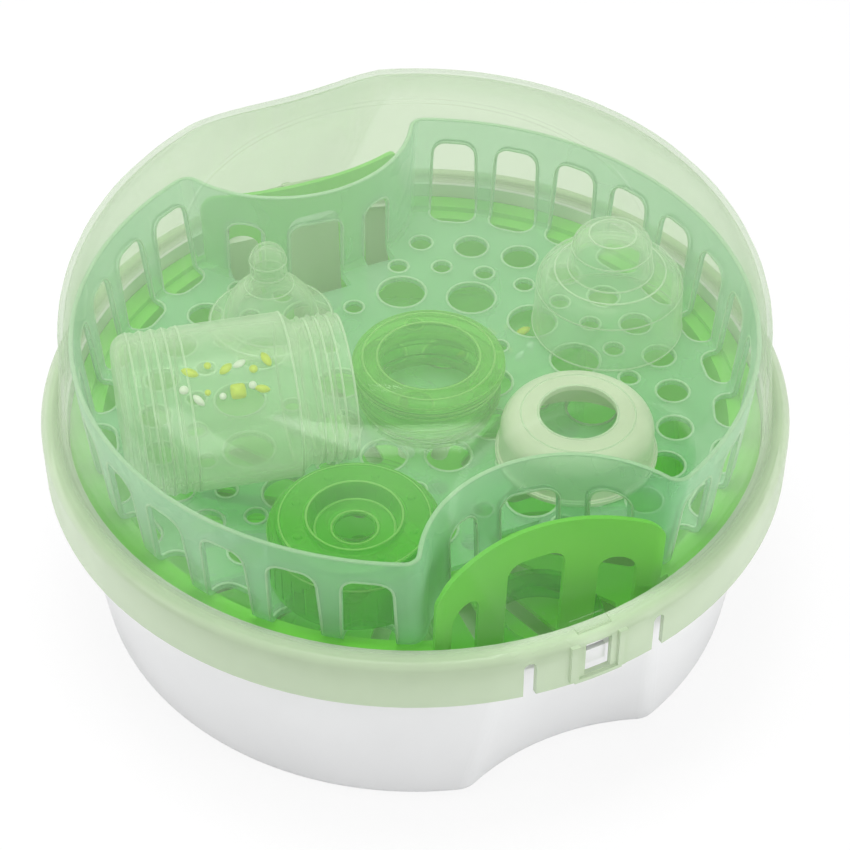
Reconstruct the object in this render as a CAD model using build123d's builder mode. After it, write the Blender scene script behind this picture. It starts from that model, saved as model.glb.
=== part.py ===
from build123d import *
from math import asin, cos, degrees, radians, sin, sqrt
import os

os.makedirs("parts", exist_ok=True)

# Microwave steam sterilizer with its load, in millimetres.
# Z is up, Z = 0 is the floor under the base, and the hand bays and clips face -Y and +Y.
# White base, green basket hung in it, milky rack on the basket, clear lid over all.

# Lid
SKIRT_R = 140.0
SKIRT_LOW_Z = 68.3
SHELF_Z = 88.5
SKIRT_EDGE_R = 3.0
DOME_FOOT_R = 133.2
DOME_SHOULDER_R = 129.8
SHOULDER_R = 37.0
SHOULDER_Z = 124.4
DOME_TOP_Z = 163.4
SHOULDER_X = DOME_SHOULDER_R - SHOULDER_R
SHOULDER_DROP = DOME_TOP_Z - SHOULDER_Z
CROWN_R = (SHOULDER_X**2 + SHOULDER_DROP**2 - SHOULDER_R**2) / (2 * (SHOULDER_DROP - SHOULDER_R))
CROWN_STEP_R = 83.0
CROWN_STEP = 0.5
LID_WALL = 2.0
LID_BAY_LOW = (SHELF_Z, 126.0, 95.0)
LID_BAY_HIGH = (168.0, 98.2, 123.0)
LID_BAY_EDGE_R = 7.0

# Clips, moulded into the skirt in the middle of each bay
CLIP_HALF = 25.0
NOTCH_WIDTH = 4.5
NOTCH_TOP_Z = 84.0
WINDOW_WIDTH = 10.0
WINDOW_LOW_Z = 71.0
WINDOW_TOP_Z = 86.0
CLIP_PROUD = 1.2
CLIP_BAR = 3.2
CLIP_BAR_X = 9.2
SHELF_TAB_R = 133.5
SHELF_TAB_WIDTH = 13.0
SHELF_TAB_DEPTH = 6.0
SHELF_TAB_RISE = 0.8
LUG_R = 137.6
LUG_WIDTH = 8.0
LUG_LOW_Z = 73.5
LUG_TOP_Z = 80.0

# Base
FOOT_R = 123.4
FOOT_EDGE_R = 5.0
WALL_TOP_R = 132.0
BOWL_TOP_Z = 70.0
BASE_WALL = 2.6
BASE_FLOOR = 3.0
BASE_BAY_LOW = (0.0, 109.5, 90.0)
BASE_BAY_HIGH = (BOWL_TOP_Z, 125.0, 130.0)
BASE_BAY_EDGE_R = 10.0
LEDGE_Z = 76.5
LEDGE_IN_R = 128.4
RIM_IN_R = 130.3
RIM_NECK_R = 133.2
RIM_OUT_R = 136.6
RIM_TOP_Z = 86.2
RIM_FLANGE = 2.2
RIM_LIP_Z = 81.0

# Basket
BASKET_WALL = 1.8
BASKET_LOW_Z = 13.0
BASKET_FLOOR_TOP_Z = 15.0
BASKET_FOOT_R = 112.0
BASKET_TOP_R = 120.0
SEAT_Z = 77.9
SEAT_R = 123.2
BASKET_LIP_Z = 80.2
BASKET_RIM_R = 129.9
BASKET_RIM_LOW_Z = 76.8
BASKET_BAY_LOW = (0.0, 100.8, 73.0)
BASKET_BAY_HIGH = (125.0, 107.2, 73.0)
HANDLE_R = 127.0
HANDLE_TOP_Z = 112.0
HANDLE_SIDE_Z = 107.5
HANDLE_HALF = 43.0
HANDLE_CORNER_R = 8.0
WINDOW_FOOT_Z = 44.0
BASKET_WINDOWS = ((0, 22.0, 97.0), (-29.0, 12.4, 91.0), (29.0, 12.4, 91.0))
WINDOW_CORNER_R = 6.0
STEAM_SLOTS = 20
STEAM_SLOT_R = 64.0
STEAM_SLOT_LENGTH = 50.0
STEAM_SLOT_WIDTH = 7.0
DRAIN_HOLES = 8
DRAIN_HOLE_R = 24.0
DRAIN_HOLE = 9.0

# Rack
RACK_WALL = 1.8
RACK_LOW_Z = 78.3
RACK_FLOOR_TOP_Z = 80.5
FENCE_FOOT_R = 122.2
FENCE_TOP_R = 126.2
FENCE_TOP_Z = 122.6
FENCE_BAND = 10.5
RACK_BAY_LOW = (70.0, 88.0, 51.0)
RACK_BAY_HIGH = (130.0, 84.0, 51.0)
RACK_BAY_EDGE_R = 6.0
SLOT_PITCH = 12.1
SLOT_REACH = 5
SLOT_SHIFT = -1.0
SLOT_WIDTH = 18.6
SLOT_TAPER = 1.0
SLOT_TOP_CORNER_R = 5.0
SLOT_IN_CORNER_R = 6.0
SLOT_IN_R = 113.0
SLOT_TOP_Z = FENCE_TOP_Z - FENCE_BAND
# The bay's slots: how far in each starts, its middle across the bay, and its width
BAY_SLOTS = ((75.0, 6.0, 20.6), (84.0, -21.0, 12.0), (84.0, 32.0, 11.0))
BAY_SLOT_TOP_Z = 108.0
BAY_SLOT_REACH = 36.0
BAY_SLOT_CORNER_R = 5.0
# Holes in the rack's floor: where each ring of holes lies and how wide they are
RIM_HOLE_R = 98.0
RIM_HOLES = (12.0, 12.0, 12.6, 13.6, 13.0, 8.6)
PIN_HOLE_R = 83.0
PIN_HOLE = 7.2
BIG_HOLE_R = 66.5
BIG_HOLE = 18.6
BAY_HOLE_R = 62.0
BAY_HOLE = 7.0
SMALL_HOLE_R = 46.5
SMALL_HOLE = 6.4
HEART_HOLE_R = 31.0
HEART_HOLE = 16.4
MIDDLE_HOLE = 13.0

# The basket and rack stand turned a little in the base, as far as the bays let them
INNER_TURN = -3.2

# Load, lying loose on the rack floor and the basket floor
REST_GAP = 0.3
BOTTLE_R = 30.0
BOTTLE_LENGTH = 82.0
BOTTLE_WALL = 1.6
NECK_R = 26.4
NECK_LENGTH = 17.0
THREAD_PROUD = 1.0
GROOVE_DEPTH = 0.6
CREAM_HOLE_R = 14.2
DISC_HOLE_R = 7.2
FRONT_RING_HEIGHT = 22.0
GRIP_GROOVES = 36
RACK_TOP = RACK_FLOOR_TOP_Z + REST_GAP
BASKET_TOP = BASKET_FLOOR_TOP_Z + REST_GAP


def bay_cutter(low, high, inset=0.0):
    """The space in front of both bays: behind an arc at a low and a high level, each
    given as its height, how far the arc's middle is from the axis, and its radius."""
    half, far = 62.0, 190.0
    with BuildPart() as cutter:
        for height, middle, radius in (low, high):
            arc_r = radius + inset
            nearest = middle - inset
            side = nearest + arc_r - sqrt(arc_r**2 - half**2)
            with BuildSketch(Plane.XY.offset(height)):
                with BuildLine():
                    ThreePointArc((-half, -side), (0, -nearest), (half, -side))
                    Polyline((half, -side), (half, -far), (-half, -far), (-half, -side))
                make_face()
        loft(ruled=True)
        mirror(about=Plane.XZ)
    return cutter.part


def bay_at(low, high, height):
    """The bay's middle distance and radius at a height, on the straight line through two levels"""
    share = (height - low[0]) / (high[0] - low[0])
    return (low[1] + share * (high[1] - low[1]), low[2] + share * (high[2] - low[2]))


def bayed_form(bay_low, bay_high, rings, inset, corner_r, foot_edge_r=0.0):
    """A solid lofted up through plan outlines, each a circle with the two bays bitten out of
    it and its corners rounded. rings gives each outline's height and the circle's radius."""
    with BuildPart() as form:
        for height, radius in rings:
            middle, bay_r = bay_at(bay_low, bay_high, height)
            with BuildSketch(Plane.XY.offset(height)) as outline:
                Circle(radius - inset)
                with Locations((0, middle + bay_r), (0, -middle - bay_r)):
                    Circle(bay_r + inset, mode=Mode.SUBTRACT)
                corners = outline.vertices().filter_by(lambda v: abs(v.Y) > radius / 2)
                fillet(corners, corner_r - inset)
        loft(ruled=True)
        if foot_edge_r:
            fillet(form.edges().group_by(Axis.Z)[0], foot_edge_r)
    return form.part


def bowl_form(inset, floor_z, edge_r, wall_top_z, lips=()):
    """The base's bowl as a solid up to wall_top_z, its wall drawn in by inset. lips gives the
    height and radius of each outline above the wall."""
    slope = (WALL_TOP_R - FOOT_R) / BOWL_TOP_Z
    rings = [(z, FOOT_R + slope * z) for z in (floor_z, wall_top_z)]
    rings.extend(lips)
    return bayed_form(BASE_BAY_LOW, BASE_BAY_HIGH, rings, inset, BASE_BAY_EDGE_R, edge_r)


def lid_form(inset, low_z):
    """The lid's outside or inside as a solid from low_z up, drawn in by inset on every side"""
    shelf = SHELF_Z - inset
    bay_foot = (shelf, *bay_at(LID_BAY_LOW, LID_BAY_HIGH, shelf))
    cutter = bay_cutter(bay_foot, LID_BAY_HIGH, inset)
    crown = CROWN_R - inset
    crown_z = DOME_TOP_Z - CROWN_R
    bend_end = degrees(asin(SHOULDER_X / (CROWN_R - SHOULDER_R)))
    step_out = degrees(asin(CROWN_STEP_R / crown))
    step_in = degrees(asin((CROWN_STEP_R - 1.0) / (crown + CROWN_STEP)))
    with BuildPart() as form:
        with BuildSketch(Plane.XZ) as section:
            with BuildLine():
                bend = CenterArc((SHOULDER_X, SHOULDER_Z), SHOULDER_R - inset, 0, 90 - bend_end)
                rim = CenterArc((0, crown_z), crown, 90 - bend_end, bend_end - step_out)
                panel = CenterArc((0, crown_z), crown + CROWN_STEP, 90 - step_in, step_in)
                Line(rim @ 1, panel @ 0)
                Polyline(
                    panel @ 1,
                    (0, low_z),
                    (SKIRT_R - inset, low_z),
                    (SKIRT_R - inset, shelf),
                    (DOME_FOOT_R - inset, shelf),
                    bend @ 0,
                )
            make_face()
            edge = section.vertices().filter_by(
                lambda v: abs(v.X - SKIRT_R + inset) < 0.01 and abs(v.Y - shelf) < 0.01
            )
            fillet(edge, SKIRT_EDGE_R - inset)
        revolve(axis=Axis.Z)
        add(cutter, mode=Mode.SUBTRACT)
        fresh = form.edges(Select.LAST).filter_by(lambda edge: edge.center().Z > shelf + 0.5)
        fillet(fresh, LID_BAY_EDGE_R - inset)
    return form.part


def turned(plane, profile):
    """A turned piece: profile draws in the plane, with radius along x and the axis along y"""
    with BuildPart() as piece:
        with BuildSketch(plane):
            with BuildLine():
                profile()
            make_face()
        revolve(axis=Axis(plane.origin, plane.y_dir))
    return piece.part


def standing(x, y, z):
    """A profile plane for a piece that stands at x, y with its foot at z"""
    return Plane(origin=(x, y, z), x_dir=(1, 0, 0), z_dir=(0, -1, 0))


def lying(x, y, z, heading):
    """A profile plane for a piece that lies with its axis along heading, in degrees"""
    turn = radians(heading)
    return Plane(origin=(x, y, z), x_dir=(0, 0, 1), z_dir=(-sin(turn), cos(turn), 0))


# Base
shelf_low_z = LEDGE_Z - BASE_WALL
ledge_lip = (LEDGE_Z + 0.01, LEDGE_IN_R + BASE_WALL)
bowl_outside = bowl_form(0.0, 0.0, FOOT_EDGE_R, LEDGE_Z - 1.0)
bowl_inside = bowl_form(
    BASE_WALL, BASE_FLOOR, FOOT_EDGE_R - BASE_WALL, shelf_low_z, [ledge_lip]
)
with BuildPart() as base:
    add(bowl_outside)
    with BuildSketch(Plane.XZ):
        with BuildLine():
            Polyline(
                (0, shelf_low_z),
                (RIM_NECK_R, shelf_low_z),
                (RIM_NECK_R, RIM_TOP_Z - RIM_FLANGE),
                (RIM_OUT_R - 1.5, RIM_TOP_Z - RIM_FLANGE),
                (RIM_OUT_R - 1.5, RIM_LIP_Z),
                (RIM_OUT_R, RIM_LIP_Z),
                (RIM_OUT_R, RIM_TOP_Z),
                (RIM_IN_R, RIM_TOP_Z),
                (RIM_IN_R, LEDGE_Z),
                (0, LEDGE_Z),
                close=True,
            )
        make_face()
    revolve(axis=Axis.Z)
    add(bowl_inside, mode=Mode.SUBTRACT)
    for side in (1, -1):
        with Locations((0, side * (LUG_R + RIM_NECK_R - 1.0) / 2, (LUG_LOW_Z + LUG_TOP_Z) / 2)):
            Box(LUG_WIDTH, LUG_R - RIM_NECK_R + 1.0, LUG_TOP_Z - LUG_LOW_Z)
base.part.label = "base"
export_step(base.part, "parts/base.step")

# Lid
lid_outside = lid_form(0.0, SKIRT_LOW_Z)
lid_inside = lid_form(LID_WALL, SKIRT_LOW_Z - 5.0)
with BuildPart() as clip_frame:
    with BuildSketch(Plane.XZ.offset(SKIRT_R - 4.0)):
        for side in (1, -1):
            with Locations((side * CLIP_BAR_X, (SKIRT_LOW_Z + SHELF_Z) / 2)):
                Rectangle(CLIP_BAR, SHELF_Z - SKIRT_LOW_Z - 3.0)
        with Locations((0, WINDOW_LOW_Z - 1.2)):
            Rectangle(2 * CLIP_BAR_X, 1.6)
    extrude(amount=10.0)
    mirror(about=Plane.XZ)
    Cylinder(SKIRT_R + CLIP_PROUD, 400.0, mode=Mode.INTERSECT)
    with Locations((0, SHELF_TAB_R, SHELF_Z - 1.0), (0, -SHELF_TAB_R, SHELF_Z - 1.0)):
        Box(SHELF_TAB_WIDTH, SHELF_TAB_DEPTH, 2.0 + 2 * SHELF_TAB_RISE)
with BuildPart() as lid:
    add(lid_outside)
    add(clip_frame.part)
    add(lid_inside, mode=Mode.SUBTRACT)
    with BuildSketch(Plane.XZ) as clip_cuts:
        for side in (1, -1):
            with Locations((side * CLIP_HALF, (SKIRT_LOW_Z - 10.0 + NOTCH_TOP_Z) / 2)):
                SlotOverall(NOTCH_TOP_Z - SKIRT_LOW_Z + 10.0, NOTCH_WIDTH, rotation=90)
        with Locations((0, (WINDOW_LOW_Z + WINDOW_TOP_Z) / 2)):
            Rectangle(WINDOW_WIDTH, WINDOW_TOP_Z - WINDOW_LOW_Z)
    extrude(amount=160.0, both=True, mode=Mode.SUBTRACT)
lid.part.label = "lid"
export_step(lid.part, "parts/lid.step")

# Basket
def basket_form(rings, inset, corner_r=6.0, foot_edge_r=0.0):
    """One stage of the basket as a solid between two heights"""
    return bayed_form(BASKET_BAY_LOW, BASKET_BAY_HIGH, rings, inset, corner_r, foot_edge_r)


blank_top_z = HANDLE_TOP_Z + 4.0
seat_low_z = SEAT_Z - BASKET_WALL
outside_rings = [
    (BASKET_LOW_Z, BASKET_FOOT_R),
    (seat_low_z, BASKET_TOP_R),
    (seat_low_z + 0.1, SEAT_R + BASKET_WALL),
    (blank_top_z, HANDLE_R),
]
inside_rings = [
    (BASKET_FLOOR_TOP_Z, BASKET_FOOT_R),
    (SEAT_Z, BASKET_TOP_R),
    (SEAT_Z + 0.1, SEAT_R + BASKET_WALL),
    (blank_top_z + 1.0, HANDLE_R),
]
basket_outside = basket_form(outside_rings, 0.0, foot_edge_r=6.0)
basket_inside = basket_form(inside_rings, BASKET_WALL, foot_edge_r=4.0)
with BuildPart() as basket_rim:
    with BuildSketch(Plane.XZ):
        with BuildLine():
            Polyline(
                (SEAT_R + 0.5, BASKET_LIP_Z - BASKET_WALL),
                (SEAT_R + 0.5, BASKET_LIP_Z),
                (BASKET_RIM_R, BASKET_LIP_Z),
                (BASKET_RIM_R, BASKET_RIM_LOW_Z),
                (BASKET_RIM_R - 1.4, BASKET_RIM_LOW_Z),
                (BASKET_RIM_R - 1.4, BASKET_LIP_Z - BASKET_WALL),
                close=True,
            )
        make_face()
    revolve(axis=Axis.Z)
    Box(2 * HANDLE_HALF + 6.0, 3 * SKIRT_R, 3 * SKIRT_R, mode=Mode.SUBTRACT)
with BuildPart() as straight_basket:
    add(basket_outside)
    add(basket_rim.part)
    add(basket_inside, mode=Mode.SUBTRACT)
    with BuildSketch(Plane.XZ) as sky:
        with BuildLine():
            crest = ThreePointArc(
                (-HANDLE_HALF, HANDLE_SIDE_Z), (0, HANDLE_TOP_Z), (HANDLE_HALF, HANDLE_SIDE_Z)
            )
            Polyline(
                crest @ 1,
                (HANDLE_HALF, BASKET_LIP_Z),
                (SKIRT_R, BASKET_LIP_Z),
                (SKIRT_R, SKIRT_R),
                (-SKIRT_R, SKIRT_R),
                (-SKIRT_R, BASKET_LIP_Z),
                (-HANDLE_HALF, BASKET_LIP_Z),
                crest @ 0,
            )
        make_face()
        crest_ends = sky.vertices().filter_by(
            lambda v: abs(abs(v.X) - HANDLE_HALF) < 0.1 and abs(v.Y - HANDLE_SIDE_Z) < 0.1
        )
        fillet(crest_ends, HANDLE_CORNER_R)
    extrude(amount=SKIRT_R, both=True, mode=Mode.SUBTRACT)
    with BuildSketch(Plane.XZ):
        for x, width, top in BASKET_WINDOWS:
            with Locations((x, (top + WINDOW_FOOT_Z) / 2)):
                RectangleRounded(width, top - WINDOW_FOOT_Z, WINDOW_CORNER_R)
    extrude(amount=SKIRT_R, both=True, mode=Mode.SUBTRACT)
    with BuildSketch(Plane.XY):
        with PolarLocations(STEAM_SLOT_R, STEAM_SLOTS):
            SlotOverall(STEAM_SLOT_LENGTH, STEAM_SLOT_WIDTH)
        with PolarLocations(DRAIN_HOLE_R, DRAIN_HOLES):
            Circle(DRAIN_HOLE / 2)
    extrude(amount=BASKET_FLOOR_TOP_Z + 1.0, mode=Mode.SUBTRACT)
with BuildPart() as basket:
    add(straight_basket.part, rotation=(0, 0, INNER_TURN))
basket.part.label = "basket"
export_step(basket.part, "parts/basket.step")

# Rack
def rack_form(inset, floor_z, edge_r):
    """The rack's inside or outside as a solid, its wall drawn in by inset"""
    slope = (FENCE_TOP_R - FENCE_FOOT_R) / (FENCE_TOP_Z - RACK_LOW_Z)
    rings = [(floor_z, FENCE_FOOT_R + slope * (floor_z - RACK_LOW_Z)), (FENCE_TOP_Z, FENCE_TOP_R)]
    return bayed_form(RACK_BAY_LOW, RACK_BAY_HIGH, rings, inset, RACK_BAY_EDGE_R, edge_r)


slot_low_z = RACK_LOW_Z - 2.0
with BuildPart() as fence_slot:
    with BuildSketch(Plane.YZ.offset(SLOT_IN_R)) as slot_face:
        with BuildLine():
            Polyline(
                (-SLOT_WIDTH / 2, slot_low_z),
                (SLOT_WIDTH / 2, slot_low_z),
                (SLOT_WIDTH / 2 - SLOT_TAPER, SLOT_TOP_Z),
                (-SLOT_WIDTH / 2 + SLOT_TAPER, SLOT_TOP_Z),
                close=True,
            )
        make_face()
        fillet(slot_face.vertices().group_by(Axis.Y)[-1], SLOT_TOP_CORNER_R)
    extrude(amount=FENCE_TOP_R - SLOT_IN_R + 6.0)
    inner_sides = fence_slot.faces().sort_by(Axis.X)[0].edges().filter_by(
        lambda edge: edge.length > FENCE_BAND and abs(edge.center().Y) > 5.0
    )
    fillet(inner_sides, SLOT_IN_CORNER_R)

with BuildPart() as bay_slots:
    for start, middle, width in BAY_SLOTS:
        with BuildSketch(Plane.XZ.offset(start)):
            with Locations((middle, (BAY_SLOT_TOP_Z + slot_low_z) / 2)):
                RectangleRounded(width, BAY_SLOT_TOP_Z - slot_low_z, BAY_SLOT_CORNER_R)
        extrude(amount=BAY_SLOT_REACH)

rack_outside = rack_form(0.0, RACK_LOW_Z, 4.0)
rack_inside = rack_form(RACK_WALL, RACK_FLOOR_TOP_Z, 2.2)
with BuildPart() as straight_rack:
    add(rack_outside)
    add(rack_inside, mode=Mode.SUBTRACT)
    for side in (0, 180):
        for step in range(-SLOT_REACH, SLOT_REACH + 1):
            with PolarLocations(0, 1, start_angle=side + SLOT_SHIFT + step * SLOT_PITCH):
                add(fence_slot.part, mode=Mode.SUBTRACT)
    with BuildSketch(Plane.XY.offset(RACK_LOW_Z - 1.0)):
        for side in (SLOT_SHIFT, 180 + SLOT_SHIFT):
            for step, size in enumerate(RIM_HOLES):
                for way in (1, -1):
                    angle = side + way * (step + 0.5) * SLOT_PITCH
                    with PolarLocations(RIM_HOLE_R, 1, start_angle=angle):
                        Circle(size / 2)
            for step in range(-6, 7):
                with PolarLocations(PIN_HOLE_R, 1, start_angle=side + step * SLOT_PITCH):
                    Circle(PIN_HOLE / 2)
            for step in range(-3, 4):
                with PolarLocations(BIG_HOLE_R, 1, start_angle=side + 2 * step * SLOT_PITCH):
                    Circle(BIG_HOLE / 2)
        with PolarLocations(BAY_HOLE_R, 2, start_angle=90):
            Circle(BAY_HOLE / 2)
        with PolarLocations(SMALL_HOLE_R, 8, start_angle=22.5):
            Circle(SMALL_HOLE / 2)
        with PolarLocations(HEART_HOLE_R, 8):
            Circle(HEART_HOLE / 2)
        Circle(MIDDLE_HOLE / 2)
    extrude(amount=RACK_FLOOR_TOP_Z - RACK_LOW_Z + 2.0, mode=Mode.SUBTRACT)
    with PolarLocations(0, 2):
        add(bay_slots.part, mode=Mode.SUBTRACT)
with BuildPart() as rack:
    add(straight_rack.part, rotation=(0, 0, INNER_TURN))
rack.part.label = "rack"
export_step(rack.part, "parts/rack.step")


# Load
def bottle_profile(beads, grooves):
    """A small wide-neck bottle: closed end at 0, mouth at BOTTLE_LENGTH, thread beads round
    its neck and shallow grooves round its foot, each by its distance along the bottle"""
    radius = BOTTLE_R
    wall = BOTTLE_WALL
    neck_foot = BOTTLE_LENGTH - NECK_LENGTH
    shoulder = neck_foot - 4.0
    heel = RadiusArc((radius - 6.0, 0), (radius, 6.0), -6.0)
    outside = []
    for groove in grooves:
        outside += [(radius, groove - 1.2), (radius - GROOVE_DEPTH, groove), (radius, groove + 1.2)]
    outside += [(radius, shoulder), (NECK_R, neck_foot)]
    for bead in beads:
        outside += [
            (NECK_R, neck_foot + bead - 1.1),
            (NECK_R + THREAD_PROUD, neck_foot + bead),
            (NECK_R, neck_foot + bead + 1.1),
        ]
    Polyline(
        heel @ 1,
        *outside,
        (NECK_R, BOTTLE_LENGTH),
        (NECK_R - wall, BOTTLE_LENGTH),
        (NECK_R - wall, neck_foot),
        (radius - wall, shoulder),
        (radius - wall, 6.0),
    )
    RadiusArc((radius - wall, 6.0), (radius - 6.0, wall), 6.0 - wall)
    Polyline((radius - 6.0, wall), (0, wall + 1.5), (0, 1.5), heel @ 0)


def stack_ring_profile(foot_r, bead_r, height, hole_r):
    """A screw ring of the stack: a rounded bead round its top, thread grooves in its hole"""
    bead = height - 3.5
    side = Polyline((foot_r, 0), (foot_r + 0.4, bead - 2.0), (bead_r, bead))
    edge = RadiusArc(side @ 1, (bead_r - 3.5, height), -3.5)
    Polyline(
        edge @ 1,
        (hole_r, height),
        (hole_r, height - 2.0),
        (hole_r + 1.2, height - 3.0),
        (hole_r + 1.2, height - 4.5),
        (hole_r, height - 5.5),
        (hole_r, height - 7.0),
        (foot_r - 2.0, height - 8.0),
        (foot_r - 2.0, 0),
        (foot_r, 0),
    )


def cream_ring_profile():
    """A pale screw ring: thin foot flange, straight side, domed top with a wide hole"""
    side = Polyline((27.0, 0), (30.0, 0), (30.0, 1.4), (28.6, 2.0), (28.2, 12.0))
    crown = RadiusArc(side @ 1, (21.4, 18.6), -7.4)
    Polyline(crown @ 1, (CREAM_HOLE_R, 19.2), (CREAM_HOLE_R, 17.2), (21.0, 16.6))
    RadiusArc((21.0, 16.6), (26.4, 11.8), 5.4)
    Line((26.4, 11.8), side @ 0)


def plain_ring_profile(foot_r, top_r, height, hole_r):
    """A plain screw ring: straight side, rounded shoulder, flat top with a hole"""
    shoulder = 3.0
    side = Line((foot_r, 0), (top_r, height - shoulder))
    edge = RadiusArc(side @ 1, (top_r - shoulder, height), -shoulder)
    Polyline(
        edge @ 1,
        (hole_r, height),
        (hole_r, height - 2.0),
        (top_r - 2.2, height - 2.0),
        (foot_r - 2.0, 0),
        side @ 0,
    )


def teat_profile():
    """A wide-base feeding teat: flange, domed areola, nipple with a round tip"""
    Polyline((17.0, 2.0), (17.0, 0), (24.6, 0), (24.6, 2.2), (18.6, 2.8))
    RadiusArc((18.6, 2.8), (9.5, 19.0), -22.0)
    RadiusArc((9.5, 19.0), (7.0, 25.0), 10.0)
    Line((7.0, 25.0), (7.2, 30.8))
    CenterArc((0, 30.8), 7.2, 0, 90)
    Line((0, 38.0), (0, 36.4))
    CenterArc((0, 30.8), 5.6, 0, 90)
    Line((5.6, 30.8), (5.4, 25.0))
    RadiusArc((5.4, 25.0), (8.0, 18.4), -11.6)
    RadiusArc((8.0, 18.4), (17.0, 2.0), 20.4)


def hood_profile():
    """A clear travel hood, mouth down: wide skirt, step, narrower top"""
    skirt = Line((29.4, 0), (28.4, 20.0))
    step = RadiusArc(skirt @ 1, (21.5, 27.0), -7.0)
    waist = Line(step @ 1, (16.5, 28.5))
    wall = Line(waist @ 1, (15.2, 38.0))
    top = RadiusArc(wall @ 1, (9.2, 44.0), -6.0)
    Polyline(top @ 1, (0, 44.4), (0, 42.9), (9.2, 42.5))
    RadiusArc((9.2, 42.5), (13.7, 38.0), 4.5)
    Polyline((13.7, 38.0), (15.0, 27.4), (21.4, 25.5))
    RadiusArc((21.4, 25.5), (26.9, 20.0), 5.5)
    Polyline((26.9, 20.0), (27.9, 0), skirt @ 0)


def disc_profile():
    """A sealing disc that lies on a ring: flat rim, raised collar, dish with a hole"""
    Polyline(
        (27.2, 0),
        (27.2, 1.6),
        (18.2, 1.6),
        (17.4, 2.6),
        (16.2, 2.6),
        (14.8, -3.4),
        (DISC_HOLE_R, -3.4),
        (DISC_HOLE_R, -5.0),
        (16.2, -5.0),
        (17.6, 0),
        close=True,
    )


# On the rack
stack_foot = (4.0, -3.0)
stack_low_height = 11.8
front_place = (-56.5, -67.0)
with BuildPart() as upper_bottle:
    add(turned(
        lying(-112.6, 9.4, RACK_TOP + BOTTLE_R, -13.8),
        lambda: bottle_profile((2.5, 6.5, 10.5, 14.5), (9.0, 13.0, 17.0, 21.0)),
    ))
upper_bottle.part.label = "upper_bottle"
export_step(upper_bottle.part, "parts/upper_bottle.step")

with BuildPart() as teat:
    add(turned(standing(-29.5, 68.0, RACK_TOP), teat_profile))
teat.part.label = "teat"
export_step(teat.part, "parts/teat.step")

with BuildPart() as screw_ring_lower:
    add(turned(
        standing(*stack_foot, RACK_TOP),
        lambda: stack_ring_profile(24.6, 27.2, stack_low_height, 18.5),
    ))
screw_ring_lower.part.label = "screw_ring_lower"
export_step(screw_ring_lower.part, "parts/screw_ring_lower.step")

with BuildPart() as screw_ring_upper:
    add(turned(
        standing(*stack_foot, RACK_TOP + stack_low_height + REST_GAP),
        lambda: stack_ring_profile(25.6, 28.6, 12.4, 18.5),
    ))
screw_ring_upper.part.label = "screw_ring_upper"
export_step(screw_ring_upper.part, "parts/screw_ring_upper.step")

with BuildPart() as cream_ring:
    add(turned(standing(41.5, -50.0, RACK_TOP), cream_ring_profile))
cream_ring.part.label = "cream_ring"
export_step(cream_ring.part, "parts/cream_ring.step")

with BuildPart() as front_ring:
    add(turned(
        standing(*front_place, RACK_TOP),
        lambda: plain_ring_profile(30.8, 30.5, FRONT_RING_HEIGHT, 25.0),
    ))
    with Locations((*front_place, RACK_TOP + (FRONT_RING_HEIGHT - 5.0) / 2)):
        with PolarLocations(31.2, GRIP_GROOVES):
            Cylinder(0.9, FRONT_RING_HEIGHT - 9.0, mode=Mode.SUBTRACT)
front_ring.part.label = "front_ring"
export_step(front_ring.part, "parts/front_ring.step")

with BuildPart() as sealing_disc:
    disc_low_z = RACK_TOP + FRONT_RING_HEIGHT + REST_GAP
    add(turned(standing(*front_place, disc_low_z), disc_profile))
    with Locations((*front_place, disc_low_z + 1.6)):
        with PolarLocations(21.6, 8):
            Cylinder(1.5, 1.4)
sealing_disc.part.label = "sealing_disc"
export_step(sealing_disc.part, "parts/sealing_disc.step")

with BuildPart() as bottle_hood:
    add(turned(standing(88.0, 8.6, RACK_TOP), hood_profile))
bottle_hood.part.label = "bottle_hood"
export_step(bottle_hood.part, "parts/bottle_hood.step")

# In the basket
lower_places = {
    "lower_bottle_right": (88.7, 26.7, 153.5),
    "lower_bottle_front": (88.7, -46.3, 153.5),
    "lower_bottle_left": (-86.7, 60.3, -26.5),
    "lower_bottle_back": (-26.0, -9.7, 243.5),
}
for name, (x, y, heading) in lower_places.items():
    with BuildPart() as lower_bottle:
        add(turned(
            lying(x, y, BASKET_TOP + BOTTLE_R, heading),
            lambda: bottle_profile((4.5, 11.0), (10.0, 16.0)),
        ))
    lower_bottle.part.label = name
    export_step(lower_bottle.part, "parts/" + name + ".step")

with BuildPart() as lower_ring:
    add(turned(
        standing(15.0, -76.0, BASKET_TOP),
        lambda: plain_ring_profile(24.5, 23.8, 16.0, 15.0),
    ))
lower_ring.part.label = "lower_ring"
export_step(lower_ring.part, "parts/lower_ring.step")
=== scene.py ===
# %% [markdown]
# # A microwave steam sterilizer, dressed for its photograph
#
# The object is a white plastic bowl with a green basket, a milky rack and a clear lid, and
# feeding pieces stand and lie inside. Its shapes come from CAD as a fixed frame. This lesson
# adds what CAD leaves out: finishes, light, a camera, and small raised and printed details.

# %% Load the frame
import math

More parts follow.
